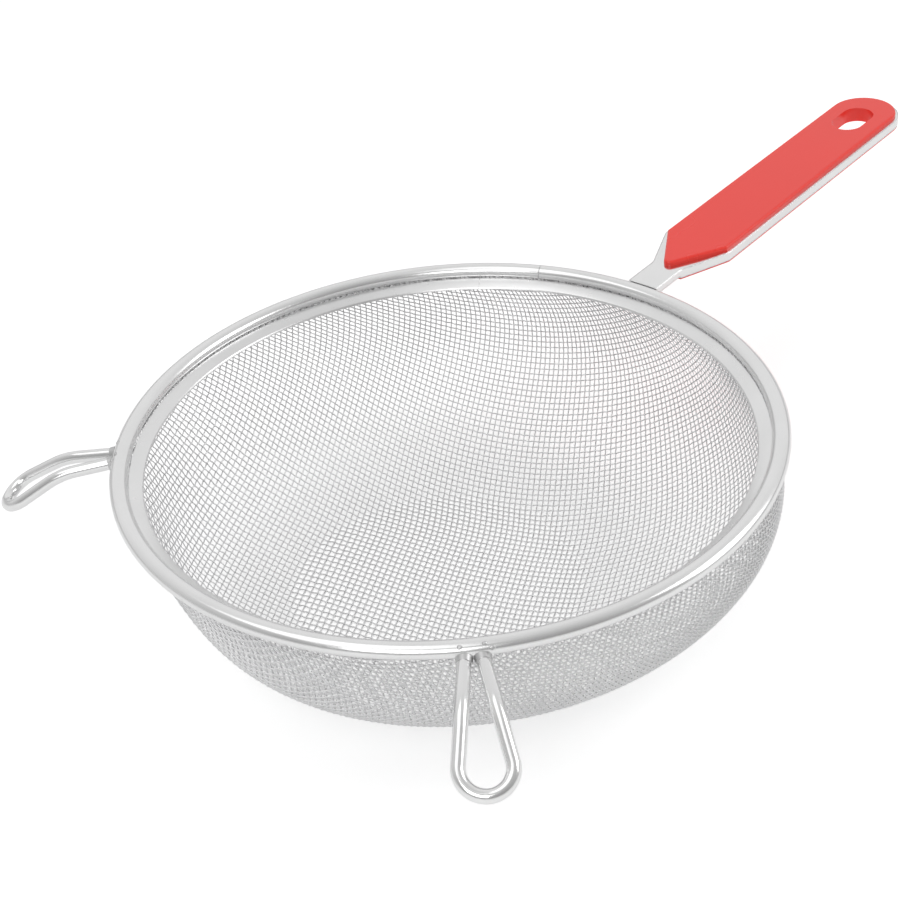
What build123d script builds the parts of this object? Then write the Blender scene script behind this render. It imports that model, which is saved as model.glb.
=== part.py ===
from build123d import *
from math import atan2, cos, hypot, radians, sin, tan
import os

# A round-bowled strainer: a woven steel bowl held in a rolled rim, a flat steel
# handle with plastic grips and a hanging slot, and two wire rests that hook
# over the edge of a pan.
# Lengths are in millimetres and angles in degrees. +Z is up, +X runs out along
# the handle, and the origin lies under the rim's centre, on the flat of the
# bowl that meets the table.

os.makedirs("parts", exist_ok=True)

# Rim: a strip rolled into a round bead, with a skirt that hugs the bowl.
rim_radius = 100.0
rim_height = 59.5
bead_radius = 2.0
sheet = 0.6
skirt_drop = 1.4
curl_gap = 0.25
joint_gap = 0.2
hoop_joint_angle = 21.6

# Inner band: an angle ring that clamps the bowl against the skirt.
flange_width = 4.05
flange_sink = 0.5
flange_drop = 1.6
lip_drop = 1.1
lip_lean = 0.35
band_depth = 5.0
band_joint_angle = 34.0
band_groove = 0.05

# Bowl: a net pressed to a rounded square-shouldered profile, a little off the
# rim's centre.
mesh_thickness = 0.8
wall_depth = 8.5
base_radius = 45.0
bowl_power = 2.68
lean_x = -5.8
lean_y = 5.7
sway_x = 6.5
sway_y = -4.3
net_pitch = 13.4
net_rib = 2.6
net_turn = 33.5
hem_depth = 8.0
section_count = 12
table_steps = 120

# Handle: a pressed steel tray on a flat shank.
handle_rise = 1.75
handle_sink = 0.3
shank_width = 11.0
shank_thickness = 2.5
neck_reach = 13.0
shoulder_reach = 31.0
tip_reach = 11.0
end_reach = 154.0
handle_width = 26.0
tray_height = 3.2
tray_wall = 1.0
neck_fillet = 5.0
shoulder_fillet = 4.0

# Grips: a plastic slab on top, whose collar lines the slot, and one below.
grip_border = 1.0
grip_rise = 1.7
grip_edge = 0.9
tip_fillet = 2.0
lower_lip = 0.5
slot_inset = 20.5
slot_length = 19.0
slot_width = 11.5
collar_wall = 1.2

# Rests: one bent wire each, welded to the bead by both ends.
wire_radius = 1.9
front_rest_angle = -135.7
side_rest_angle = 130.4
rest_reach = 35.0
bend_reach = 16.0
leg_spacing = 4.3
rest_spread = 15.8
bend_spread = 8.7
seat_drop = 1.7
leg_drop = 3.6
rest_slope = 29.4
bend_radius = 23.0
rest_corner_share = 0.43

# Welds.
weld_size = 0.7
weld_length = 1.4
weld_edge = 0.15
handle_weld_inset = 1.0

# Clearance between pressed pieces, and the reach of a cut past what it cuts.
fit_gap = 0.12
overrun = 2.0

bead_ring_radius = rim_radius - bead_radius
bead_height = rim_height - bead_radius
throat_radius = rim_radius - 2 * bead_radius
bowl_radius = throat_radius - fit_gap
wall_height = rim_height - wall_depth


def bowl_height_scale():
    """Height of the whole curve, whose lowest part is cut off by the flat base."""
    return wall_height / (1 - (base_radius / bowl_radius) ** bowl_power) ** (1 / bowl_power)


curve_height = bowl_height_scale()


def curve_angle_at_base():
    """Angle of the curve's parameter where the flat base begins."""
    side = (base_radius / bowl_radius) ** (bowl_power / 2)
    rest = (wall_height / curve_height) ** (bowl_power / 2)
    return atan2(side, rest)


def bowl_profile(angle):
    """Radius and height of the bowl's outside at an angle of its curve."""
    radius = bowl_radius * sin(angle) ** (2 / bowl_power)
    height = wall_height - curve_height * max(cos(angle), 0) ** (2 / bowl_power)
    return radius, max(height, 0)


def inside_profile(angle):
    """The same point moved in by the mesh thickness, square to the surface."""
    radius, height = bowl_profile(angle)
    outward = (radius / bowl_radius) ** (bowl_power - 1) / bowl_radius
    downward = ((wall_height - height) / curve_height) ** (bowl_power - 1) / curve_height
    length = hypot(outward, downward)
    return (
        radius - mesh_thickness * outward / length,
        height + mesh_thickness * downward / length,
    )


def lean_at(height):
    """Offset of the bowl's centre from the rim's at a height: a lean, and a sway halfway down."""
    share = max(wall_height - height, 0) / wall_height
    halfway = 4 * share * (1 - share)
    return lean_x * share + sway_x * halfway, lean_y * share + sway_y * halfway


def section_angles():
    """Angles of the lofted sections, from the flat base to the straight wall."""
    first = curve_angle_at_base()
    step = (radians(90) - first) / (section_count - 1)
    return [first + step * index for index in range(section_count)]


def loft_bowl(profile, top):
    """Solid under a profile: the curved part is a loft in bands, the wall is straight."""
    sections = []
    for angle in section_angles():
        radius, height = profile(angle)
        with BuildSketch(Plane.XY.offset(height)) as section:
            with Locations(lean_at(height)):
                Circle(radius)
        sections.append(section.sketch)
    loft(sections, ruled=True)
    extrude(sections[-1], amount=top - wall_height)


# The arc-length table of the profile lays the flat net on the bowl.
profile_table = [(0, 0, 0), (base_radius, base_radius, 0)]
for index in range(1, table_steps + 1):
    start = curve_angle_at_base()
    radius, height = bowl_profile(start + (radians(90) - start) * index / table_steps)
    run, last_radius, last_height = profile_table[-1]
    run += hypot(radius - last_radius, height - last_height)
    profile_table.append((run, radius, height))
hem_height = rim_height - hem_depth
hem_run = profile_table[-1][0] + hem_height - wall_height
profile_table.append((hem_run, bowl_radius, hem_height))


def on_bowl(across, along):
    """Point of the bowl's outside that a point of the flat net comes to lie on."""
    run = min(hypot(across, along), hem_run)
    turn = atan2(along, across)
    for lower, upper in zip(profile_table, profile_table[1:]):
        if run <= upper[0]:
            break
    share = (run - lower[0]) / (upper[0] - lower[0])
    radius = lower[1] + share * (upper[1] - lower[1])
    height = lower[2] + share * (upper[2] - lower[2])
    shift_x, shift_y = lean_at(height)
    return Vector(radius * cos(turn) + shift_x, radius * sin(turn) + shift_y, height)


def net_point(across, along):
    """Flat net coordinates, turned, with a crossing of ribs at the origin."""
    turn = radians(net_turn)
    x = across * cos(turn) - along * sin(turn) - lean_x
    y = across * sin(turn) + along * cos(turn) - lean_y
    return x, y


# A window's corners, taken from its middle in half widths.
corner_signs = [(-1, -1), (1, -1), (1, 1), (-1, 1)]
half_window = (net_pitch - net_rib) / 2
rows = int(hem_run / net_pitch) + 1


def window_faces(column, row):
    """Face of one window, square to the bowl, or nothing past the hem."""
    middle = ((column + 1 / 2) * net_pitch, (row + 1 / 2) * net_pitch)
    if hypot(*net_point(*middle)) > hem_run - half_window / 2:
        return []
    corners = [
        on_bowl(*net_point(middle[0] + half_window * a, middle[1] + half_window * b))
        for a, b in corner_signs
    ]
    outward = (corners[2] - corners[0]).cross(corners[3] - corners[1])
    centre = (corners[0] + corners[1] + corners[2] + corners[3]) / len(corners)
    window = Plane(origin=centre, x_dir=corners[1] - corners[0], z_dir=outward).offset(overrun)
    flat = [window.to_local_coords(corner) for corner in corners]
    with BuildSketch(window) as opening:
        with BuildLine():
            Polyline(*[(point.X, point.Y) for point in flat], close=True)
        make_face()
    return opening.sketch.faces()


def cut_ring_joint(angle, depth, width):
    """Thin cut through a ring where the two ends of its strip meet."""
    reach = width + 2 * overrun
    turned = Plane.XY.rotated((0, 0, angle)).offset(rim_height + overrun)
    with BuildSketch(turned) as joint:
        with Locations((rim_radius - width / 2, 0)):
            Rectangle(reach, joint_gap)
    extrude(joint.sketch, amount=-(depth + 2 * overrun), mode=Mode.SUBTRACT)


# Rim hoop.
skirt_bottom = rim_height - 2 * bead_radius - skirt_drop
with BuildPart() as rim_hoop:
    with BuildSketch(Plane.XZ):
        with Locations((bead_ring_radius, bead_height)):
            Circle(bead_radius)
            Circle(bead_radius - sheet, mode=Mode.SUBTRACT)
        with Locations((throat_radius, skirt_bottom)):
            Rectangle(sheet, bead_height - skirt_bottom, align=(Align.MIN, Align.MIN))
        with Locations((throat_radius, bead_height + curl_gap)):
            Rectangle(2 * sheet, curl_gap, align=(Align.CENTER, Align.MIN), mode=Mode.SUBTRACT)
    revolve(axis=Axis.Z)
    cut_ring_joint(hoop_joint_angle, 2 * bead_radius + skirt_drop, 2 * bead_radius)
rim_hoop.part.label = "rim_hoop"
export_step(rim_hoop.part, "parts/rim_hoop.step")

# Inner band: its section is a sloping flange with a turned-down lip and a leg.
flange_outer = throat_radius + band_groove
flange_inner = flange_outer - flange_width
leg_outer = bowl_radius - mesh_thickness - fit_gap
leg_inner = leg_outer - sheet


def flange_top(radius):
    """Height of the flange's upper face at a radius."""
    return rim_height - flange_sink - flange_drop * (flange_outer - radius) / flange_width


lip_bottom = flange_top(flange_inner) - lip_drop
band_outline = [
    (flange_outer, flange_top(flange_outer)),
    (flange_inner, flange_top(flange_inner)),
    (flange_inner - lip_lean, lip_bottom),
    (flange_inner - lip_lean + sheet, lip_bottom),
    (flange_inner + sheet, flange_top(flange_inner + sheet) - sheet),
    (leg_inner, flange_top(leg_inner) - sheet),
    (leg_inner, rim_height - band_depth),
    (leg_outer, rim_height - band_depth),
    (leg_outer, flange_top(leg_outer) - sheet),
    (flange_outer, flange_top(flange_outer) - sheet),
]
with BuildPart() as inner_band:
    with BuildSketch(Plane.XZ):
        with BuildLine():
            Polyline(*band_outline, close=True)
        make_face()
    revolve(axis=Axis.Z)
    band_width = rim_radius - flange_inner
    cut_ring_joint(band_joint_angle, band_depth, band_width)
inner_band.part.label = "inner_band"
export_step(inner_band.part, "parts/inner_band.step")

# Bowl mesh: a thin shell with the net's windows cut square through it.
mesh_top = flange_top(leg_outer) - sheet - fit_gap
with BuildPart() as bowl_space:
    loft_bowl(inside_profile, mesh_top + overrun)
with BuildPart() as bowl_mesh:
    loft_bowl(bowl_profile, mesh_top)
    add(bowl_space.part, mode=Mode.SUBTRACT)
    windows = []
    for column in range(-rows, rows):
        for row in range(-rows, rows):
            windows.extend(window_faces(column, row))
    extrude(windows, amount=-2 * overrun, mode=Mode.SUBTRACT, clean=False)
bowl_mesh.part.label = "bowl_mesh"
export_step(bowl_mesh.part, "parts/bowl_mesh.step")

# Handle frame, drawn on a plane that rises away from the rim.
rise = radians(handle_rise)
handle_plane = Plane(
    origin=(rim_radius, 0, rim_height - handle_sink),
    x_dir=(cos(rise), 0, sin(rise)),
    z_dir=(-sin(rise), 0, cos(rise)),
)
handle_normal = Axis(handle_plane.origin, handle_plane.z_dir)
half_width = handle_width / 2
half_shank = shank_width / 2


def handle_outline(inset):
    """Tray outline in from the edge by an inset, from the neck to the round end."""
    side = half_width - inset
    end = end_reach - half_width
    neck_side = half_shank - inset
    with BuildLine() as outline:
        neck, shoulder = (neck_reach + inset, neck_side), (shoulder_reach, side)
        edge = FilletPolyline(neck, shoulder, (end, side), radius=shoulder_fillet)
        ThreePointArc(edge @ 1, (end_reach - inset, 0), (end, -side))
        mirror(edge.edges(), about=Plane.XZ)
        Line(neck, (neck_reach + inset, -neck_side))
    make_face(outline.edges())


def slot_outline(margin):
    """Hanging slot, wider by a margin all round."""
    with Locations((end_reach - slot_inset, 0)):
        SlotOverall(slot_length + 2 * margin, slot_width + 2 * margin)


with BuildPart() as handle_frame:
    with BuildSketch(handle_plane) as plate:
        handle_outline(0)
        with Locations((-bead_radius, 0)):
            shank_run = bead_radius + neck_reach + tray_wall
            Rectangle(shank_run, shank_width, align=(Align.MIN, Align.CENTER))
        fillet(plate.vertices().group_by(Axis.X)[1], radius=neck_fillet)
    extrude(amount=-shank_thickness)
    with BuildSketch(handle_plane):
        handle_outline(0)
    extrude(amount=-tray_height)
    with BuildSketch(handle_plane.offset(-tray_height)):
        handle_outline(tray_wall)
    extrude(amount=tray_height - tray_wall, mode=Mode.SUBTRACT)
    with BuildSketch(handle_plane):
        slot_outline(collar_wall + fit_gap)
    extrude(amount=-tray_height, mode=Mode.SUBTRACT)
    with Locations((0, 0, bead_height)):
        Torus(bead_ring_radius, bead_radius, mode=Mode.SUBTRACT)
handle_frame.part.label = "handle_frame"
export_step(handle_frame.part, "parts/handle_frame.step")

# Upper grip: a slab with a pointed end, and the collar that lines the slot.
grip_half = half_width - grip_border
with BuildPart() as grip_top:
    with BuildSketch(handle_plane) as slab:
        with BuildLine():
            point = Polyline(
                (end_reach - half_width, grip_half),
                (shoulder_reach, grip_half),
                (tip_reach, 0),
                (shoulder_reach, -grip_half),
                (end_reach - half_width, -grip_half),
            )
            ThreePointArc(point @ 1, (end_reach - grip_border, 0), point @ 0)
        make_face()
        fillet(slab.vertices().group_by(Axis.X)[0], radius=tip_fillet)
        fillet(slab.vertices().group_by(Axis.X)[2], radius=shoulder_fillet)
    extrude(amount=grip_rise)
    fillet(grip_top.faces().sort_by(handle_normal)[-1].edges(), radius=grip_edge)
    with BuildSketch(handle_plane):
        slot_outline(collar_wall)
    extrude(amount=-(tray_height + lower_lip))
    with BuildSketch(handle_plane.offset(grip_rise)):
        slot_outline(0)
    extrude(amount=-(grip_rise + tray_height + lower_lip), mode=Mode.SUBTRACT)
grip_top.part.label = "grip_top"
export_step(grip_top.part, "parts/grip_top.step")

# Lower grip: fills the tray and stands a little below it.
with BuildPart() as grip_bottom:
    with BuildSketch(handle_plane.offset(-tray_wall - fit_gap)):
        handle_outline(tray_wall + fit_gap)
    extrude(amount=-(tray_height - tray_wall))
    with BuildSketch(handle_plane.offset(-tray_height - fit_gap)):
        handle_outline(fit_gap)
    extrude(amount=-(lower_lip - fit_gap))
    with BuildSketch(handle_plane):
        slot_outline(collar_wall + fit_gap)
    extrude(amount=-(tray_height + lower_lip), mode=Mode.SUBTRACT)
grip_bottom.part.label = "grip_bottom"
export_step(grip_bottom.part, "parts/grip_bottom.step")

# Handle weld: a run of metal under the shank, against the bead.
with BuildPart() as handle_weld:
    with BuildSketch(Plane.XZ):
        shank_under = rim_height - handle_sink - shank_thickness
        with BuildLine():
            Polyline(
                (rim_radius - bead_radius, shank_under),
                (rim_radius + weld_size, shank_under),
                (rim_radius - bead_radius, shank_under - weld_size - bead_radius / 2),
                close=True,
            )
        make_face()
    extrude(amount=half_shank - handle_weld_inset, both=True)
    add(handle_frame.part, mode=Mode.SUBTRACT)
    with Locations((0, 0, bead_height)):
        Torus(bead_ring_radius, bead_radius, mode=Mode.SUBTRACT)
handle_weld.part.label = "handle_weld"
export_step(handle_weld.part, "parts/handle_weld.step")


def rest_plane(angle):
    """Plane through the bead's centre, with X out along the rest."""
    turn = radians(angle)
    return Plane(origin=(0, 0, bead_height), x_dir=(cos(turn), sin(turn), 0), z_dir=(0, 0, 1))


end_drop = leg_drop + (rest_reach - bend_reach) * tan(radians(rest_slope))
rest_corner_radius = rest_spread * rest_corner_share
rest_points = [
    (bead_ring_radius, leg_spacing / 2, -seat_drop),
    (rim_radius + bend_reach, bend_spread / 2, -leg_drop),
    (rim_radius + rest_reach, rest_spread / 2, -end_drop),
    (rim_radius + rest_reach, -rest_spread / 2, -end_drop),
    (rim_radius + bend_reach, -bend_spread / 2, -leg_drop),
    (bead_ring_radius, -leg_spacing / 2, -seat_drop),
]
rest_radii = [bend_radius, rest_corner_radius, rest_corner_radius, bend_radius]


def bend_rest(angle):
    """Bent wire of one rest, cut back to the bead."""
    with BuildLine(rest_plane(angle)) as route:
        FilletPolyline(*rest_points, radius=rest_radii)
    wire = route.wires()[0]
    with BuildSketch(Plane(origin=wire @ 0, z_dir=wire % 0)) as section:
        Circle(wire_radius)
    sweep(section.sketch, path=wire)
    with Locations((0, 0, bead_height)):
        Torus(bead_ring_radius, bead_radius, mode=Mode.SUBTRACT)


def weld_leg(angle, side, rest):
    """Collar of weld metal round one leg of a rest, on the left or right side."""
    plane = rest_plane(angle)
    start, end = [
        plane.from_local_coords((reach, across * side, drop))
        for reach, across, drop in rest_points[:2]
    ]
    with Locations(Plane(origin=start, z_dir=end - start)):
        Cone(
            wire_radius + weld_size,
            wire_radius + weld_edge,
            bead_radius + weld_length,
            align=(Align.CENTER, Align.CENTER, Align.MIN),
        )
    between = plane.y_dir * side
    split(bisect_by=Plane(origin=plane.origin + between * fit_gap / 2, z_dir=between))
    add(rest, mode=Mode.SUBTRACT)
    with Locations((0, 0, bead_height)):
        Torus(bead_ring_radius, bead_radius, mode=Mode.SUBTRACT)


# Rests, and a weld round each of their four legs.
with BuildPart() as front_rest:
    bend_rest(front_rest_angle)
front_rest.part.label = "front_rest"
export_step(front_rest.part, "parts/front_rest.step")

with BuildPart() as side_rest:
    bend_rest(side_rest_angle)
side_rest.part.label = "side_rest"
export_step(side_rest.part, "parts/side_rest.step")

with BuildPart() as front_left_weld:
    weld_leg(front_rest_angle, 1, front_rest.part)
front_left_weld.part.label = "front_left_weld"
export_step(front_left_weld.part, "parts/front_left_weld.step")

with BuildPart() as front_right_weld:
    weld_leg(front_rest_angle, -1, front_rest.part)
front_right_weld.part.label = "front_right_weld"
export_step(front_right_weld.part, "parts/front_right_weld.step")

with BuildPart() as side_left_weld:
    weld_leg(side_rest_angle, 1, side_rest.part)
side_left_weld.part.label = "side_left_weld"
export_step(side_left_weld.part, "parts/side_left_weld.step")

with BuildPart() as side_right_weld:
    weld_leg(side_rest_angle, -1, side_rest.part)
side_right_weld.part.label = "side_right_weld"
export_step(side_right_weld.part, "parts/side_right_weld.step")
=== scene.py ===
import math

import bmesh
import bpy
import numpy as np
from bpy.props import FloatProperty, FloatVectorProperty, IntProperty, PointerProperty
from mathutils import Matrix, Vector


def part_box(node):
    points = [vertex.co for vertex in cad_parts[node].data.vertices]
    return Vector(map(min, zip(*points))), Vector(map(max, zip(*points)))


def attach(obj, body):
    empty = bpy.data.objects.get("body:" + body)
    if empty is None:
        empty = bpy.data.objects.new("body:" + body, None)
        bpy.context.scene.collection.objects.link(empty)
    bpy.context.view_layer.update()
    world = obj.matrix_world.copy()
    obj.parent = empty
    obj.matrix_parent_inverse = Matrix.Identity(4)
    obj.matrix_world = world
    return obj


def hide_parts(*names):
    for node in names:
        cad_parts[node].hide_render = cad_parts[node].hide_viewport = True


bl_info = {
    "name": "Wire Strainer",
    "version": (1, 0, 0),
    "blender": (4, 5, 0),
    "location": "View3D > Sidebar > Strainer",
    "description": "Dresses a round wire strainer: woven bowl, rolled rim, red grips and stage",
    "category": "Object",
}

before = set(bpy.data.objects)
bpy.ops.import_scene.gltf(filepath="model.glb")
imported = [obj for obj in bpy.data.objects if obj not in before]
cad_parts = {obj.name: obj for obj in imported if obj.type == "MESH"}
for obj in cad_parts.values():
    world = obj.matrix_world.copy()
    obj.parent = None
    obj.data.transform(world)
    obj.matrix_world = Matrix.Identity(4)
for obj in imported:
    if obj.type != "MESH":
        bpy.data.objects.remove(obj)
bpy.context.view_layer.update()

MM = 0.001
ROOT = "root"

# Corners of the CAD's bowl and rim, from which the pieces made here take their reach
WEAVE_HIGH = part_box("bowl_mesh")[1]
HOOP_LOW, HOOP_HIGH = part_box("rim_hoop")


# Settings


class BowlSettings(bpy.types.PropertyGroup):
    """Sizes of the pressed bowl and of its woven cloth."""

    radius: FloatProperty(
        name="Bowl radius",
        description="Outside radius of the bowl's straight wall",
        default=WEAVE_HIGH.y,
        unit="LENGTH",
    )
    top: FloatProperty(
        name="Top of the cloth",
        description="Height at which the cloth ends, hidden under the clamping band",
        default=WEAVE_HIGH.z,
        unit="LENGTH",
    )
    wall_height: FloatProperty(
        name="Wall height",
        description="Height at which the straight wall begins",
        default=51 * MM,
        unit="LENGTH",
    )
    base_radius: FloatProperty(
        name="Base radius",
        description="Radius of the flat in the middle of the bowl",
        default=45 * MM,
        unit="LENGTH",
    )
    power: FloatProperty(
        name="Squareness",
        description="Power of the curve from the flat to the wall; 2 is an ellipse",
        default=2.68,
    )
    lean: FloatVectorProperty(
        name="Lean",
        description="How far the flat lies off the rim's centre",
        default=(-5.8 * MM, 5.7 * MM),
        size=2,
        unit="LENGTH",
    )
    sway: FloatVectorProperty(
        name="Sway",
        description="How far the bowl stands out to one side halfway down",
        default=(6.5 * MM, -4.3 * MM),
        size=2,
        unit="LENGTH",
    )
    cloth: FloatProperty(
        name="Cloth thickness",
        description="Two wires, one over the other",
        default=0.8 * MM,
        unit="LENGTH",
    )
    wire: FloatProperty(
        name="Wire",
        description="Diameter of the cloth's wire",
        default=0.42 * MM,
        unit="LENGTH",
    )
    turn: FloatProperty(
        name="Turn",
        description="Direction of the long wires, from the handle's",
        default=math.radians(27),
        subtype="ANGLE",
    )
    long_pitch: FloatProperty(
        name="Long wire spacing",
        description="From one long wire to the next in the middle of the cloth",
        default=1.91 * MM,
        unit="LENGTH",
    )
    long_spread: FloatProperty(
        name="Long wire spread",
        description="Share by which long wires lie wider apart at one side and closer at the other",
        default=0.3,
    )
    long_bow: FloatProperty(
        name="Long wire bow",
        description="How far the bowl's pressing has pulled the long wires aside at one end",
        default=15 * MM,
        unit="LENGTH",
    )
    cross_pitch: FloatProperty(
        name="Cross wire spacing",
        description="From one cross wire to the next in the middle of the cloth",
        default=2.3 * MM,
        unit="LENGTH",
    )
    cross_tightening: FloatProperty(
        name="Cross wire tightening",
        description="Share by which cross wires lie closer at the edge",
        default=0.24,
    )
    cross_bow: FloatProperty(
        name="Cross wire bow",
        description="How far the bowl's pressing has pulled the cross wires out of line",
        default=11 * MM,
        unit="LENGTH",
    )
    wire_sides: IntProperty(
        name="Wire sides",
        description="Flat sides round each wire of the cloth",
        default=6,
    )


class RimSettings(bpy.types.PropertyGroup):
    """Sizes of the rolled rim and of the band inside it."""

    bead_width: FloatProperty(
        name="Bead width",
        description="Width of the rolled bead, from above",
        default=5.5 * MM,
        unit="LENGTH",
    )
    bead_height: FloatProperty(
        name="Bead height",
        description="Height of the rolled bead, from the side",
        default=4.5 * MM,
        unit="LENGTH",
    )
    sheet: FloatProperty(
        name="Sheet",
        description="Thickness of the rim's strip and of the band",
        default=0.6 * MM,
        unit="LENGTH",
    )
    band_sink: FloatProperty(
        name="Band depth",
        description="How far the band's outer edge lies below the rim's top",
        default=4.0 * MM,
        unit="LENGTH",
    )
    band_width: FloatProperty(
        name="Band width",
        description="Width of the band's sloping flange",
        default=3.9 * MM,
        unit="LENGTH",
    )
    band_drop: FloatProperty(
        name="Band slope",
        description="How far the flange drops from its outer to its inner edge",
        default=1.4 * MM,
        unit="LENGTH",
    )
    lip_drop: FloatProperty(
        name="Lip",
        description="Depth of the lip that is turned down at the flange's inner edge",
        default=0.7 * MM,
        unit="LENGTH",
    )
    joint_gap: FloatProperty(
        name="Joint gap",
        description="Gap where the two ends of a strip meet",
        default=0.2 * MM,
        unit="LENGTH",
    )
    bead_joint: FloatProperty(
        name="Bead joint",
        description="Where the rim's ends meet, from the handle's direction",
        default=math.radians(21.6),
        subtype="ANGLE",
    )
    band_joint: FloatProperty(
        name="Band joint",
        description="Where the band's ends meet, from the handle's direction",
        default=math.radians(34.0),
        subtype="ANGLE",
    )


class FinishSettings(bpy.types.PropertyGroup):
    """Colours of the steel and the plastic, and the handle's soft edge."""

    steel: FloatVectorProperty(
        name="Steel",
        description="Colour of the polished steel",
        default=(0.84, 0.84, 0.84),
        size=3,
        subtype="COLOR",
    )
    cloth: FloatVectorProperty(
        name="Wire cloth",
        description="Colour of the drawn wire",
        default=(0.76, 0.76, 0.765),
        size=3,
        subtype="COLOR",
    )
    weld: FloatVectorProperty(
        name="Weld",
        description="Colour of the brushed-over welds",
        default=(0.60, 0.60, 0.60),
        size=3,
        subtype="COLOR",
    )
    grip: FloatVectorProperty(
        name="Grip",
        description="Colour of the plastic grips",
        default=(0.86, 0.040, 0.028),
        size=3,
        subtype="COLOR",
    )
    edge: FloatProperty(
        name="Soft edge",
        description="Radius of the soft edge that the handle's steel is shaded with",
        default=1.0 * MM,
        unit="LENGTH",
    )


class WeldSettings(bpy.types.PropertyGroup):
    """Sizes of the small lumps of weld metal above the rests' legs."""

    lump_width: FloatProperty(
        name="Lump width",
        description="Width of the largest lump, along the rim",
        default=1.7 * MM,
        unit="LENGTH",
    )
    lump_height: FloatProperty(
        name="Lump height",
        description="How far the largest lump stands off the bead",
        default=0.45 * MM,
        unit="LENGTH",
    )
    lump_offset: FloatProperty(
        name="Lump offset",
        description="How far the lumps lie outside the middle of a leg",
        default=0.7 * MM,
        unit="LENGTH",
    )


class StageSettings(bpy.types.PropertyGroup):
    """Camera, floor, room and lamps."""

    camera_azimuth: FloatProperty(
        name="Camera azimuth",
        description="Where the camera stands round the rim, from the handle's direction",
        default=math.radians(-136.2),
        subtype="ANGLE",
    )
    camera_elevation: FloatProperty(
        name="Camera elevation",
        description="How far down the camera looks",
        default=math.radians(33.8),
        subtype="ANGLE",
    )
    camera_distance: FloatProperty(
        name="Camera distance",
        description="From the camera to the middle of the rim",
        default=525 * MM,
        unit="LENGTH",
    )
    camera_roll: FloatProperty(
        name="Camera roll",
        description="How far the camera is turned about its own axis",
        default=-0.1001,
        subtype="ANGLE",
    )
    lens: FloatProperty(
        name="Lens",
        description="Focal length in millimetres on a 36 mm sensor",
        default=71.18,
        unit="CAMERA",
    )
    shift: FloatVectorProperty(
        name="Lens shift",
        description="Puts the middle of the rim where the photograph has it",
        default=(0.0037, -0.0278),
        size=2,
    )
    floor_radius: FloatProperty(
        name="Floor radius",
        description="Radius of the round floor where it begins to sweep up",
        default=5.0,
        unit="LENGTH",
    )
    sweep_rise: FloatProperty(
        name="Sweep",
        description="How high and how far the floor's edge sweeps up, as a studio backdrop does",
        default=1.2,
        unit="LENGTH",
    )
    floor: FloatVectorProperty(
        name="Floor",
        description="Colour of the floor",
        default=(0.90, 0.90, 0.90),
        size=3,
        subtype="COLOR",
    )
    floor_glow: FloatProperty(
        name="Floor glow",
        description="Light added to the floor where it is seen directly or through something clear",
        default=0.34,
    )
    floor_shine: FloatProperty(
        name="Floor shine",
        description="Light added to the floor where the steel mirrors it",
        default=0.08,
    )
    far_room: FloatVectorProperty(
        name="Far side of the room",
        description="Colour of the room behind the strainer, which the rim mirrors",
        default=(0.86, 0.86, 0.86),
        size=3,
        subtype="COLOR",
    )
    near_room: FloatVectorProperty(
        name="Near side of the room",
        description="Colour of the darker room on the camera's side, which draws dark lines on steel",
        default=(0.38, 0.38, 0.38),
        size=3,
        subtype="COLOR",
    )
    key_power: FloatProperty(
        name="Key lamp",
        description="Power of the large soft lamp overhead",
        default=1.8,
        unit="POWER",
    )
    fill_power: FloatProperty(
        name="Fill lamp",
        description="Power of the soft lamp beside the camera",
        default=2.3,
        unit="POWER",
    )
    side_power: FloatProperty(
        name="Side lamp",
        description="Power of the soft lamp on the handle's side",
        default=2.3,
        unit="POWER",
    )


# Meshes


# Shortest length that a direction is worked out from
TINY = 1e-12

# Share of a tube's strip of the baking map that its faces fill
STRIP_FILL = 0.9


def link(name, data):
    """Object of a mesh, camera or lamp, in the scene."""
    made = bpy.data.objects.new(name, data)
    bpy.context.scene.collection.objects.link(made)
    return made


def fit_to_body(piece, slot_name, material, *nodes):
    """The piece rides on the strainer, takes a finish and hides the CAD nodes whose place it takes.
    """
    piece.data.materials.append(material)
    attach(piece, ROOT)
    if nodes:
        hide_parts(*nodes)


def unit_rows(rows):
    """Each row of an array as a direction."""
    return rows / np.maximum(np.linalg.norm(rows, axis=1, keepdims=True), TINY)


def tube_rings(points, facing, radius, sides):
    """Ring of points round each point of a path; facing is a normal at each."""
    along = unit_rows(np.gradient(points, axis=0))
    across = unit_rows(np.cross(along, facing))
    up = np.cross(across, along)
    turn = np.linspace(0, math.tau, sides, endpoint=False)
    ring = np.cos(turn)[None, :, None] * up[:, None, :]
    ring = ring + np.sin(turn)[None, :, None] * across[:, None, :]
    return points[:, None, :] + radius * ring


def tube_quads(count, sides):
    """Corners of the faces round a tube that has a number of rings."""
    step = np.arange(count - 1)[:, None] * sides
    side = np.arange(sides)[None, :]
    after = (side + 1) % sides
    corners = (step + side, step + after, step + sides + after, step + sides + side)
    return np.stack(corners, axis=-1).reshape(-1, 4)


def tube_strip(count, sides, level, depth):
    """Places of a tube's faces on the baking map, in one strip of it."""
    step, side = np.meshgrid(np.arange(count - 1), np.arange(sides), indexing="ij")
    low, high = step / (count - 1), (step + 1) / (count - 1)
    left, right = level + depth * side / sides, level + depth * (side + 1) / sides
    corners = (low, left, low, right, high, right, high, left)
    return np.stack(corners, axis=-1).reshape(-1, 4, 2)


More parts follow.
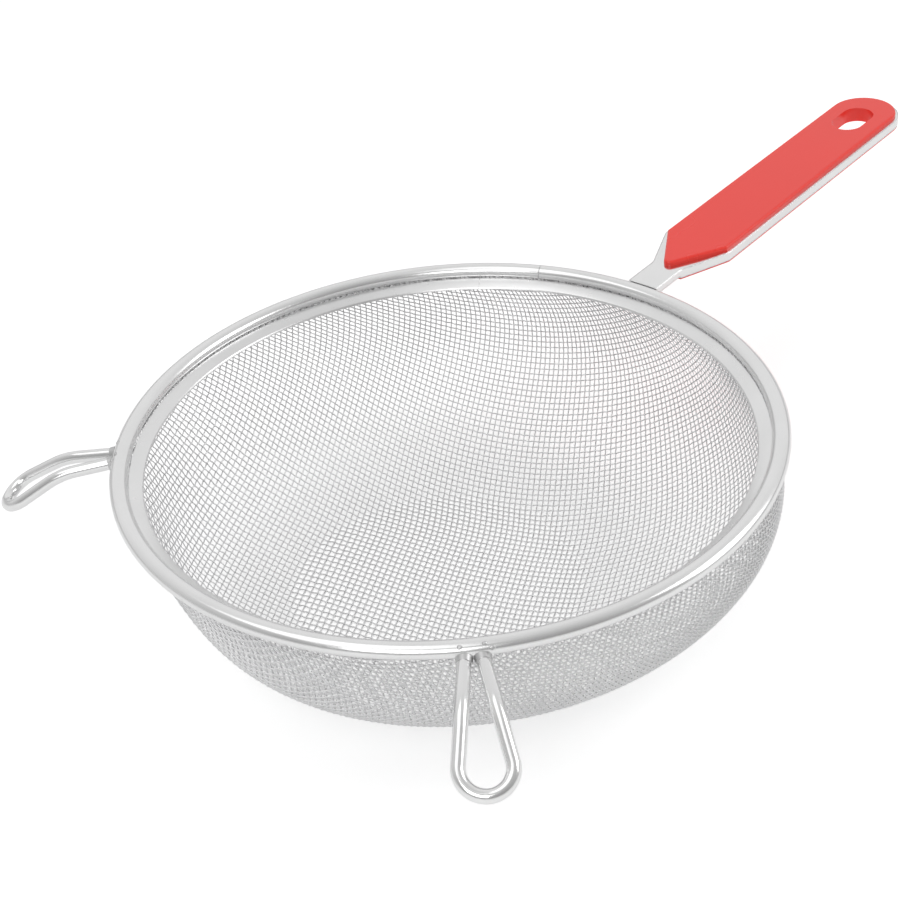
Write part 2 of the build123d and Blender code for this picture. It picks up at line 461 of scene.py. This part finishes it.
def tubes_mesh(name, paths, radius, sides):
    """One mesh of many tubes. Each path is a pair: its points and their facings."""
    vertices, quads, caps, strips = [], [], [], []
    around = np.arange(sides)
    first = 0
    for row, (points, facing) in enumerate(paths):
        count = len(points)
        vertices.append(tube_rings(points, facing, radius, sides).reshape(-1, 3))
        quads.append(first + tube_quads(count, sides))
        caps.append(first + around[::-1])
        caps.append(first + (count - 1) * sides + around)
        strips.append(tube_strip(count, sides, row / len(paths), STRIP_FILL / len(paths)))
        first += count * sides
    return mesh_from_arrays(
        name, np.concatenate(vertices), np.concatenate(quads), np.array(caps), np.concatenate(strips)
    )


def mesh_from_arrays(name, vertices, quads, caps, strips):
    """Smooth-shaded mesh from arrays of corners, with its own map for baking."""
    mesh = bpy.data.meshes.new(name)
    corners = np.concatenate([quads.ravel(), caps.ravel()]).astype(np.int32)
    counts = np.repeat([quads.shape[1], caps.shape[1]], [len(quads), len(caps)])
    starts = np.concatenate([[0], np.cumsum(counts)[:-1]]).astype(np.int32)
    mesh.vertices.add(len(vertices))
    mesh.vertices.foreach_set("co", vertices.astype(np.float32).ravel())
    mesh.loops.add(len(corners))
    mesh.loops.foreach_set("vertex_index", corners)
    mesh.polygons.add(len(counts))
    mesh.polygons.foreach_set("loop_start", starts)
    mesh.update(calc_edges=True)
    mesh.validate()
    mesh.shade_smooth()
    layer = mesh.uv_layers.new(name="OFBake")
    places = np.zeros((len(mesh.loops), 2), np.float32)
    places[: quads.size] = strips.reshape(-1, 2)
    layer.data.foreach_set("uv", places.ravel())
    return mesh


def smooth_mesh(name, built):
    """Smooth-shaded mesh of what was built."""
    mesh = bpy.data.meshes.new(name)
    built.to_mesh(mesh)
    built.free()
    mesh.shade_smooth()
    return mesh


# Woven bowl


class BowlForm:
    """The bowl's middle surface, as a flat cloth laid on it by arc length."""

    STEPS = 400
    NUDGE = 0.02 * MM

    def __init__(self, sizes):
        self.lean = sizes.lean
        self.sway = sizes.sway
        self.low = sizes.cloth / 2
        self.wall = sizes.wall_height
        radius = sizes.radius - sizes.cloth / 2
        base = sizes.base_radius
        power = sizes.power
        rise = self.wall - self.low

        # A squared-off ellipse round the rim's axis, from the flat's edge up to the wall
        full_rise = rise / (1 - (base / radius) ** power) ** (1 / power)
        start = math.atan2((base / radius) ** (power / 2), (rise / full_rise) ** (power / 2))
        angle = np.linspace(start, math.pi / 2, self.STEPS)
        curve = radius * np.sin(angle) ** (2 / power)
        height = self.wall - full_rise * np.maximum(np.cos(angle), 0) ** (2 / power)

        # Flat, curve and wall in one line, and the length run along it
        self.radii = np.concatenate([[0], curve, [radius]])
        self.heights = np.concatenate([[self.low], height, [sizes.top]])
        runs = np.hypot(np.diff(self.radii), np.diff(self.heights))
        self.runs = np.concatenate([[0], np.cumsum(runs)])
        self.reach = self.runs[-1]

    def place(self, a, b):
        """Points of the bowl for points of the flat cloth."""
        run = np.hypot(a, b)
        turn = np.arctan2(b, a)
        radius = np.interp(run, self.runs, self.radii)
        height = np.interp(run, self.runs, self.heights)
        share = np.maximum(self.wall - height, 0) / (self.wall - self.low)
        halfway = 4 * share * (1 - share)
        x = radius * np.cos(turn) + self.lean[0] * share + self.sway[0] * halfway
        y = radius * np.sin(turn) + self.lean[1] * share + self.sway[1] * halfway
        return np.stack([x, y, height], axis=-1)

    def facing(self, a, b):
        """Normals into the bowl at points of the flat cloth."""
        step = self.NUDGE
        by_a = self.place(a + step, b) - self.place(a - step, b)
        by_b = self.place(a, b + step) - self.place(a, b - step)
        return unit_rows(np.cross(by_a, by_b))


def smooth_step(value):
    """Value held within 0 and 1, eased at both ends."""
    held = np.clip(value, 0, 1)
    return held * held * (3 - 2 * held)


def spaced_out(reach, pitch_at):
    """Places from one end of the cloth to the other, with a pitch that varies."""
    places = [0.0]
    while places[-1] < reach:
        places.append(places[-1] + pitch_at(places[-1]))
    while places[0] > -reach:
        places.insert(0, places[0] - pitch_at(places[0]))
    return np.array(places)


class Cloth:
    """The two sets of wires on the flat cloth, whose crossings are found first.

    Along and across are coordinates of the flat cloth, turned with its long wires.
    """

    # Shares of the cloth's reach; past the first, the wires' spacing no longer changes
    PITCH_LIMIT = 0.7
    BOW_START = 0.15
    BOW_END = 0.82
    CROSS_MIDDLE = 0.25
    CROSS_PERIOD = 0.75

    # Rounds in which the crossings settle, and fewest points of a wire that is kept
    ROUNDS = 8
    FEWEST_POINTS = 4

    def __init__(self, sizes, form):
        self.sizes = sizes
        self.form = form
        margin = form.reach + sizes.cross_bow + sizes.long_bow
        long_places = spaced_out(margin, self.long_pitch)
        cross_places = spaced_out(margin, self.cross_pitch)
        along, across = np.meshgrid(cross_places, long_places)
        first_along, first_across = along, across
        for _ in range(self.ROUNDS):
            along = first_along + self.cross_bow(first_along, across)
            across = first_across + self.long_bow(along)
        self.along, self.across = along, across

    def long_pitch(self, across):
        """Spacing of the long wires at a distance across."""
        limit = self.PITCH_LIMIT
        share = np.clip(across / self.form.reach, -limit, limit)
        return self.sizes.long_pitch * (1 - self.sizes.long_spread * share / limit)

    def cross_pitch(self, along):
        """Spacing of the cross wires at a distance along."""
        eased = smooth_step(abs(along) / (self.PITCH_LIMIT * self.form.reach))
        return self.sizes.cross_pitch * (1 - self.sizes.cross_tightening * eased)

    def long_bow(self, along):
        """How far a long wire is pulled across at a distance along."""
        share = along / self.form.reach
        eased = (share - self.BOW_START) / (self.BOW_END - self.BOW_START)
        return -self.sizes.long_bow * smooth_step(eased)

    def cross_bow(self, along, across):
        """How far a cross wire is pulled along at a distance across."""
        fading = 1 - smooth_step(np.abs(along) / self.form.reach)
        turn = across / self.form.reach - self.CROSS_MIDDLE
        return -self.sizes.cross_bow * fading * np.cos(math.pi * turn / self.CROSS_PERIOD)

    def flat(self, along, across):
        """Turned coordinates of the flat cloth."""
        cosine, sine = math.cos(self.sizes.turn), math.sin(self.sizes.turn)
        return along * cosine + across * sine, along * sine - across * cosine

    def wire_paths(self, along, across, first):
        """Paths of one set of wires, one for each row of crossings."""
        paths = []
        for row, (row_along, row_across) in enumerate(zip(along, across)):
            half_steps = np.arange(0, len(row_along) - 0.5, 0.5)
            whole_steps = np.arange(len(row_along))
            a, b = self.flat(
                np.interp(half_steps, whole_steps, row_along),
                np.interp(half_steps, whole_steps, row_across),
            )
            lift = self.lift(len(half_steps), row + first)
            paths += self.paths_inside(a, b, lift)
        return paths

    def paths_inside(self, a, b, lift):
        """Stretches of a wire that lie inside the cloth's round edge."""
        inside = np.hypot(a, b) <= self.form.reach
        edges = np.flatnonzero(np.diff(np.concatenate([[0], inside.astype(int), [0]])))
        paths = []
        for start, end in zip(edges[::2], edges[1::2]):
            if end - start < self.FEWEST_POINTS:
                continue
            part = slice(start, end)
            normal = self.form.facing(a[part], b[part])
            points = self.form.place(a[part], b[part]) + normal * lift[part, None]
            paths.append((points, normal))
        return paths

    def long_paths(self):
        """Long wires, over and under the cross wires."""
        return self.wire_paths(self.along, self.across, 0)

    def cross_paths(self):
        """Cross wires, under and over the long ones."""
        return self.wire_paths(self.along.T, self.across.T, 1)

    def lift(self, count, row):
        """Height of a wire off the cloth's middle: over, level, under, level."""
        wave = np.cos(np.arange(count) * math.pi / 2)
        side = 1 if row % 2 else -1
        return side * wave * self.sizes.wire / 2


# Rim and band


BEAD_POINTS = 36
RING_STEPS = 300
SHARP_ABOVE = math.radians(35)


def bead_point(sizes, turn):
    """Radius and height of a point of the bead's section, from its outermost one up."""
    half_width, half_height = sizes.bead_width / 2, sizes.bead_height / 2
    radius = HOOP_HIGH.x - half_width + half_width * math.cos(turn)
    return radius, HOOP_HIGH.z - half_height + half_height * math.sin(turn)


def bead_outline(sizes):
    """Section of the rolled bead."""
    return [bead_point(sizes, math.tau * number / BEAD_POINTS) for number in range(BEAD_POINTS)]


def skirt_outline(sizes):
    """Section of the skirt outside the cloth, which runs up into the bead."""
    clearance = 0.1 * sizes.sheet
    inner = WEAVE_HIGH.y + clearance
    outer = inner + sizes.sheet
    corner = sizes.sheet / 4
    top = HOOP_HIGH.z - sizes.bead_height / 2
    return [
        (inner, top),
        (inner, HOOP_LOW.z + corner),
        (inner + corner, HOOP_LOW.z),
        (outer - corner, HOOP_LOW.z),
        (outer, HOOP_LOW.z + corner),
        (outer, top),
    ]


def band_outline(sizes):
    """Section of the band: a flange that slopes into the bowl, and its lip."""
    overlap = sizes.sheet / 4
    outer = HOOP_HIGH.x - sizes.bead_width + overlap
    inner = outer - sizes.band_width
    high = HOOP_HIGH.z - sizes.band_sink
    low = high - sizes.band_drop
    bend = sizes.sheet / 3
    return [
        (outer, high),
        (inner + bend, low + bend / 4),
        (inner, low - bend / 2),
        (inner - bend, low - sizes.lip_drop),
        (inner - bend + sizes.sheet, low - sizes.lip_drop),
        (inner + sizes.sheet, low - sizes.sheet),
        (outer, high - sizes.sheet),
    ]


def join_rings(built, rings):
    """Faces between each ring of corners and the next."""
    for ring, next_ring in zip(rings, rings[1:]):
        for place in range(len(ring)):
            before = place - 1
            built.faces.new((ring[before], ring[place], next_ring[place], next_ring[before]))


def spin_ring(built, outline, joint, gap):
    """Ring spun from a section, open by a gap at its joint."""
    opening = gap / HOOP_HIGH.x
    rings = []
    for step in range(RING_STEPS + 1):
        turn = joint + opening / 2 + (math.tau - opening) * step / RING_STEPS
        cosine, sine = math.cos(turn), math.sin(turn)
        points = [(radius * cosine, radius * sine, height) for radius, height in outline]
        rings.append([built.verts.new(point) for point in points])
    join_rings(built, rings)
    built.faces.new(rings[0])
    built.faces.new(rings[-1])


def rings_mesh(name, outlines, joint, gap):
    """Mesh of rings spun from sections that share one joint."""
    built = bmesh.new()
    for outline in outlines:
        spin_ring(built, outline, joint, gap)
    bmesh.ops.recalc_face_normals(built, faces=built.faces)
    mesh = smooth_mesh(name, built)
    mesh.set_sharp_from_angle(angle=SHARP_ABOVE)
    return mesh


# Finishes


GRAIN_DEPTH = 0.02 * MM
PEEL_DEPTH = 0.05 * MM


def new_material(name):
    """Material, its node tree and its shader."""
    made = bpy.data.materials.new(name)
    made.use_nodes = True
    tree = made.node_tree
    shader = tree.nodes["Principled BSDF"]
    return made, tree, shader


def add_node(tree, kind, **values):
    """Node of a tree, with its named values set."""
    node = tree.nodes.new(kind)
    for name, value in values.items():
        if hasattr(node, name):
            setattr(node, name, value)
        else:
            node.inputs[name].default_value = value
    return node


def noise(tree, scale, detail):
    """Noise in the piece's own coordinates."""
    place = add_node(tree, "ShaderNodeTexCoord")
    texture = add_node(tree, "ShaderNodeTexNoise", Scale=scale, Detail=detail)
    tree.links.new(place.outputs["Object"], texture.inputs["Vector"])
    return texture.outputs["Fac"]


def blend_colours(tree, factor, dark, light):
    """Colour between two, by a factor of 0 to 1."""
    node = add_node(tree, "ShaderNodeMix", data_type="RGBA")
    node.inputs["A"].default_value = (*dark, 1)
    node.inputs["B"].default_value = (*light, 1)
    tree.links.new(factor, node.inputs["Factor"])
    return node.outputs["Result"]


def cloud_over(tree, shader, colour, cloud, spread):
    """Base colour that a soft noise makes darker and lighter, by a pair of shares."""
    dark, light = ([min(channel * share, 1.0) for channel in colour] for share in spread)
    tree.links.new(blend_colours(tree, cloud, dark, light), shader.inputs["Base Color"])


def roughen(tree, shader, texture, roughness):
    """Roughness that follows a texture between two values."""
    spread = add_node(tree, "ShaderNodeMapRange")
    spread.inputs["To Min"].default_value, spread.inputs["To Max"].default_value = roughness
    tree.links.new(texture, spread.inputs["Value"])
    tree.links.new(spread.outputs["Result"], shader.inputs["Roughness"])


def raise_relief(tree, shader, texture, strength, depth):
    """Fine relief that follows a texture; its node is handed back."""
    relief = add_node(tree, "ShaderNodeBump", Strength=strength, Distance=depth)
    tree.links.new(texture, relief.inputs["Height"])
    tree.links.new(relief.outputs["Normal"], shader.inputs["Normal"])
    return relief


def steel_material(name, colour, roughness, grain_scale, grain_relief, edge=0.0):
    """Polished or drawn steel with a fine grain, and a soft edge where one is given."""
    made, tree, shader = new_material(name)
    shader.inputs["Metallic"].default_value = 1.0
    grain = noise(tree, scale=grain_scale, detail=4.0)
    cloud = noise(tree, scale=60.0, detail=2.0)
    cloud_over(tree, shader, colour, cloud, spread=(0.94, 1.04))
    roughen(tree, shader, grain, roughness)
    relief = raise_relief(tree, shader, grain, grain_relief, GRAIN_DEPTH)
    if edge:
        rounding = add_node(tree, "ShaderNodeBevel", Radius=edge)
        tree.links.new(rounding.outputs["Normal"], relief.inputs["Normal"])
    return made


def plastic_material(name, colour):
    """Glossy moulded plastic with the faintest orange peel."""
    made, tree, shader = new_material(name)
    cloud = noise(tree, scale=35.0, detail=2.0)
    peel = noise(tree, scale=900.0, detail=1.0)
    cloud_over(tree, shader, colour, cloud, spread=(0.97, 1.03))
    roughen(tree, shader, cloud, roughness=(0.22, 0.30))
    raise_relief(tree, shader, peel, 0.06, PEEL_DEPTH)
    return made


def paint_node(name, material):
    """Finish on a CAD node that stays as it is."""
    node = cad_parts[name]
    if not node.data.materials:
        node.data.materials.append(material)
    for slot in node.material_slots:
        slot.material = material


# Weld lumps


# Where the lumps sit round the bead, up from its outermost line
RIGHT_TILT = math.radians(52)
LEFT_TILT = math.radians(60)
STRAY_TILT = math.radians(30)

# How many offsets the stray lump lies off its leg, and the size of the others beside it
STRAY_OFFSETS = 3.5
LEG_LUMP_SHARE = 0.9

# Width of a lump round the bead for one along the rim, and how far its waves swell it
LUMP_NARROWING = 0.75
LUMP_UNEVENNESS = 0.15


def leg_direction(weld_name):
    """Direction round the rim of the leg that a weld holds."""
    low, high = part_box(weld_name)
    return math.atan2(low.y + high.y, low.x + high.x)


def lump_spots(left_name, right_name, offset):
    """Direction round the rim, tilt round the bead and share of full size, for each lump."""
    left, right = leg_direction(left_name), leg_direction(right_name)
    outward = math.copysign(offset / HOOP_HIGH.x, left - right)
    return (
        (right - outward, RIGHT_TILT, LEG_LUMP_SHARE),
        (left + outward, LEFT_TILT, LEG_LUMP_SHARE),
        (left + STRAY_OFFSETS * outward, STRAY_TILT, 1.0),
    )


def lumps_mesh(name, spots, sizes, rim):
    """Low, uneven mounds on the rim's bead, each half sunk in it."""
    built = bmesh.new()
    for number, (direction, tilt, share) in enumerate(spots):
        out = Vector((math.cos(direction), math.sin(direction), 0))
        along = Vector((-out.y, out.x, 0))
        normal = out * math.cos(tilt) + Vector((0, 0, math.sin(tilt)))
        across = normal.cross(along)
        radius, level = bead_point(rim, tilt)
        seat = out * radius + Vector((0, 0, level))
        half_width = sizes.lump_width / 2 * share
        height = sizes.lump_height * share
        mound = bmesh.ops.create_icosphere(built, subdivisions=3, radius=1)
        for vertex in mound["verts"]:
            x, y, z = vertex.co
            waves = math.sin(3 * x + 2 * number) * math.cos(4 * y)
            spread = (along * x + across * y * LUMP_NARROWING) * half_width
            vertex.co = seat + (spread + normal * z * height) * (1 + LUMP_UNEVENNESS * waves)
    return smooth_mesh(name, built)


# Stage


SENSOR_WIDTH = 36
CLIP_START = 0.01
CLIP_END = 50

FLOOR_SIDES = 96
SWEEP_BANDS = 10
FLOOR_CLEARANCE = 0.05 * MM

# How squarely a direction faces the far side, where the near colour ends and the far one starts
NEAR_END = -0.7
FAR_START = 0.8
FAR_SIDE_RISE = 0.1

KEY_PLACE = (-0.35, 0.25, 1.25)
KEY_SIZE = 0.9
FILL_PLACE = (-0.75, -0.35, 0.75)
FILL_SIZE = 0.6
SIDE_PLACE = (0.62, -0.65, 0.65)
SIDE_SIZE = 0.6


def place_camera(stage, middle):
    """Camera at the photograph's angle."""
    azimuth, elevation = stage.camera_azimuth, stage.camera_elevation
    back = Vector(
        (
            math.cos(azimuth) * math.cos(elevation),
            math.sin(azimuth) * math.cos(elevation),
            math.sin(elevation),
        )
    )
    right = Vector((-math.sin(azimuth), math.cos(azimuth), 0))
    up = back.cross(right)
    cosine, sine = math.cos(stage.camera_roll), math.sin(stage.camera_roll)
    x_axis = right * cosine + up * sine
    y_axis = up * cosine - right * sine
    camera = bpy.data.cameras.new("camera")
    camera.sensor_width = SENSOR_WIDTH
    camera.lens = stage.lens
    camera.shift_x, camera.shift_y = stage.shift
    camera.clip_start, camera.clip_end = CLIP_START, CLIP_END
    placed = link("camera", camera)
    turned = Matrix((x_axis, y_axis, back)).transposed().to_4x4()
    placed.matrix_world = Matrix.Translation(middle + back * stage.camera_distance) @ turned
    bpy.context.scene.camera = placed


def floor_mesh(stage):
    """Round floor, swept up at its edge."""
    built = bmesh.new()
    rings = []
    for band in range(SWEEP_BANDS + 1):
        bend = math.pi / 2 * band / SWEEP_BANDS
        radius = stage.floor_radius + stage.sweep_rise * math.sin(bend)
        height = stage.sweep_rise * (1 - math.cos(bend))
        turns = [math.tau * side / FLOOR_SIDES for side in range(FLOOR_SIDES)]
        points = [(radius * math.cos(turn), radius * math.sin(turn), height) for turn in turns]
        rings.append([built.verts.new(point) for point in points])
    built.faces.new(rings[0])
    join_rings(built, rings[::-1])
    return smooth_mesh("floor", built)


def floor_material(stage):
    """Matt pale floor, which glows only where it is seen or mirrored."""
    made, tree, shader = new_material("pale_floor")
    shader.inputs["Base Color"].default_value = (*stage.floor, 1)
    shader.inputs["Roughness"].default_value = 0.9
    shader.inputs["Specular IOR Level"].default_value = 0.0
    shader.inputs["Emission Color"].default_value = (1, 1, 1, 1)
    path = add_node(tree, "ShaderNodeLightPath")
    seen = add_node(tree, "ShaderNodeMath", operation="MAXIMUM")
    tree.links.new(path.outputs["Is Camera Ray"], seen.inputs[0])
    tree.links.new(path.outputs["Is Transmission Ray"], seen.inputs[1])
    mirrored = add_node(tree, "ShaderNodeMath", operation="MULTIPLY")
    mirrored.inputs[1].default_value = stage.floor_shine
    tree.links.new(path.outputs["Is Glossy Ray"], mirrored.inputs[0])
    glow = add_node(tree, "ShaderNodeMath", operation="MULTIPLY_ADD")
    glow.inputs[1].default_value = stage.floor_glow
    tree.links.new(seen.outputs[0], glow.inputs[0])
    tree.links.new(mirrored.outputs[0], glow.inputs[2])
    tree.links.new(glow.outputs[0], shader.inputs["Emission Strength"])
    return made


def lay_floor(stage):
    """Pale floor at the foot of the bowl, which keeps the shadow."""
    floor = link("floor", floor_mesh(stage))
    floor.location.z = -FLOOR_CLEARANCE
    floor.data.materials.append(floor_material(stage))


def light_room(scene, stage):
    """Room that is palest behind the strainer; the floor's sweep hides it from the camera."""
    away = (-math.cos(stage.camera_azimuth), -math.sin(stage.camera_azimuth), FAR_SIDE_RISE)
    world = bpy.data.worlds.new("pale_room")
    world.use_nodes = True
    tree = world.node_tree
    back = tree.nodes["Background"]
    place = add_node(tree, "ShaderNodeTexCoord")
    towards = add_node(tree, "ShaderNodeVectorMath", operation="DOT_PRODUCT")
    towards.inputs[1].default_value = away
    tree.links.new(place.outputs["Generated"], towards.inputs[0])
    share = add_node(tree, "ShaderNodeMapRange")
    share.inputs["From Min"].default_value = NEAR_END
    share.inputs["From Max"].default_value = FAR_START
    tree.links.new(towards.outputs["Value"], share.inputs["Value"])
    colour = blend_colours(tree, share.outputs["Result"], stage.near_room, stage.far_room)
    tree.links.new(colour, back.inputs["Color"])
    scene.world = world


def add_lamp(name, power, size, place, target):
    """Soft square lamp aimed at a point."""
    lamp = bpy.data.lights.new(name, "AREA")
    lamp.energy = power
    lamp.size = size
    placed = link(name, lamp)
    placed.location = place
    placed.rotation_mode = "QUATERNION"
    placed.rotation_quaternion = (Vector(place) - target).to_track_quat("Z", "Y")


# Operators


class STRAINER_OT_weave_bowl(bpy.types.Operator):
    """Weave the wire cloth of the bowl"""

    bl_idname = "strainer.weave_bowl"
    bl_label = "Weave Bowl"

    def execute(self, context):
        sizes = context.scene.strainer_bowl
        cloth = Cloth(sizes, BowlForm(sizes))
        colour = context.scene.strainer_finish.cloth
        material = steel_material(
            "drawn_wire", colour, roughness=(0.30, 0.44), grain_scale=900, grain_relief=0.1
        )
        for name, paths in (
            ("long_wires", cloth.long_paths()),
            ("cross_wires", cloth.cross_paths()),
        ):
            half = len(paths) // 2
            for side, part in (("left", paths[:half]), ("right", paths[half:])):
                mesh = tubes_mesh(f"{name}_{side}", part, sizes.wire / 2, sizes.wire_sides)
                piece = link(f"{name}_{side}", mesh)
                fit_to_body(piece, "mesh_steel", material, "bowl_mesh")
        return {"FINISHED"}


class STRAINER_OT_roll_rim(bpy.types.Operator):
    """Roll the rim and the band inside it"""

    bl_idname = "strainer.roll_rim"
    bl_label = "Roll Rim"

    def execute(self, context):
        colour = context.scene.strainer_finish.steel
        bead = steel_material(
            "rolled_rim_steel", colour, roughness=(0.16, 0.24), grain_scale=300, grain_relief=0.05
        )
        band = steel_material(
            "band_steel", colour, roughness=(0.24, 0.34), grain_scale=300, grain_relief=0.08
        )
        sizes = context.scene.strainer_rim
        outlines = (bead_outline(sizes), skirt_outline(sizes))
        mesh = rings_mesh("rolled_rim", outlines, sizes.bead_joint, sizes.joint_gap)
        fit_to_body(link("rolled_rim", mesh), "polished_steel", bead, "rim_hoop")
        outlines = (band_outline(sizes),)
        mesh = rings_mesh("clamping_band", outlines, sizes.band_joint, sizes.joint_gap)
        fit_to_body(link("clamping_band", mesh), "satin_steel", band, "inner_band")
        return {"FINISHED"}


class STRAINER_OT_finish_handle(bpy.types.Operator):
    """Polish the handle's steel and colour its grips"""

    bl_idname = "strainer.finish_handle"
    bl_label = "Finish Handle"

    def execute(self, context):
        finish = context.scene.strainer_finish
        steel = steel_material(
            "handle_steel",
            finish.steel,
            roughness=(0.10, 0.18),
            grain_scale=250,
            grain_relief=0.04,
            edge=finish.edge,
        )
        plastic = plastic_material("red_plastic", finish.grip)
        paint_node("handle_frame", steel)
        paint_node("grip_top", plastic)
        paint_node("grip_bottom", plastic)
        return {"FINISHED"}


class STRAINER_OT_finish_rests(bpy.types.Operator):
    """Polish the wire rests and finish the welds"""

    bl_idname = "strainer.finish_rests"
    bl_label = "Finish Rests"

    def execute(self, context):
        finish = context.scene.strainer_finish
        wire = steel_material(
            "rest_wire", finish.steel, roughness=(0.12, 0.20), grain_scale=400, grain_relief=0.04
        )
        weld = steel_material(
            "weld_steel", finish.weld, roughness=(0.30, 0.45), grain_scale=700, grain_relief=0.3
        )
        for name in ("front_rest", "side_rest"):
            paint_node(name, wire)
        for name in (
            "handle_weld",
            "front_left_weld",
            "front_right_weld",
            "side_left_weld",
            "side_right_weld",
        ):
            paint_node(name, weld)
        sizes = context.scene.strainer_weld
        for rest in ("front", "side"):
            spots = lump_spots(f"{rest}_left_weld", f"{rest}_right_weld", sizes.lump_offset)
            name = f"{rest}_weld_lumps"
            mesh = lumps_mesh(name, spots, sizes, context.scene.strainer_rim)
            fit_to_body(link(name, mesh), "weld_steel", weld)
        return {"FINISHED"}


class STRAINER_OT_set_stage(bpy.types.Operator):
    """Set the camera, the floor, the room and the lamps"""

    bl_idname = "strainer.set_stage"
    bl_label = "Set Stage"

    def execute(self, context):
        stage = context.scene.strainer_stage
        middle = Vector((0, 0, HOOP_HIGH.z))
        place_camera(stage, middle)
        lay_floor(stage)
        light_room(context.scene, stage)
        add_lamp("key_lamp", stage.key_power, KEY_SIZE, KEY_PLACE, middle)
        add_lamp("fill_lamp", stage.fill_power, FILL_SIZE, FILL_PLACE, middle)
        add_lamp("side_lamp", stage.side_power, SIDE_SIZE, SIDE_PLACE, middle)
        context.scene.view_settings.view_transform = "Standard"
        return {"FINISHED"}


# Panel and add-on


class STRAINER_PT_panel(bpy.types.Panel):
    """Strainer pieces and stage"""

    bl_idname = "STRAINER_PT_panel"
    bl_label = "Strainer"
    bl_space_type = "VIEW_3D"
    bl_region_type = "UI"
    bl_category = "Strainer"

    def draw(self, context):
        for maker in OPERATORS:
            self.layout.operator(maker.bl_idname)
        for settings, group in SETTINGS:
            box = self.layout.box()
            for name in group.__annotations__:
                box.prop(getattr(context.scene, settings), name)


SETTINGS = (
    ("strainer_bowl", BowlSettings),
    ("strainer_rim", RimSettings),
    ("strainer_finish", FinishSettings),
    ("strainer_weld", WeldSettings),
    ("strainer_stage", StageSettings),
)
OPERATORS = (
    STRAINER_OT_weave_bowl,
    STRAINER_OT_roll_rim,
    STRAINER_OT_finish_handle,
    STRAINER_OT_finish_rests,
    STRAINER_OT_set_stage,
)


def register():
    """Adds the settings, the operators and the panel to Blender."""
    for name, group in SETTINGS:
        bpy.utils.register_class(group)
        setattr(bpy.types.Scene, name, PointerProperty(type=group))
    for maker in OPERATORS:
        bpy.utils.register_class(maker)
    bpy.utils.register_class(STRAINER_PT_panel)


def unregister():
    """Takes them out again."""
    bpy.utils.unregister_class(STRAINER_PT_panel)
    for maker in reversed(OPERATORS):
        bpy.utils.unregister_class(maker)
    for name, group in reversed(SETTINGS):
        delattr(bpy.types.Scene, name)
        bpy.utils.unregister_class(group)


def main():
    """Makes every piece and the stage."""
    register()
    bpy.ops.strainer.weave_bowl()
    bpy.ops.strainer.roll_rim()
    bpy.ops.strainer.finish_handle()
    bpy.ops.strainer.finish_rests()
    bpy.ops.strainer.set_stage()


if __name__ == "__main__":
    main()
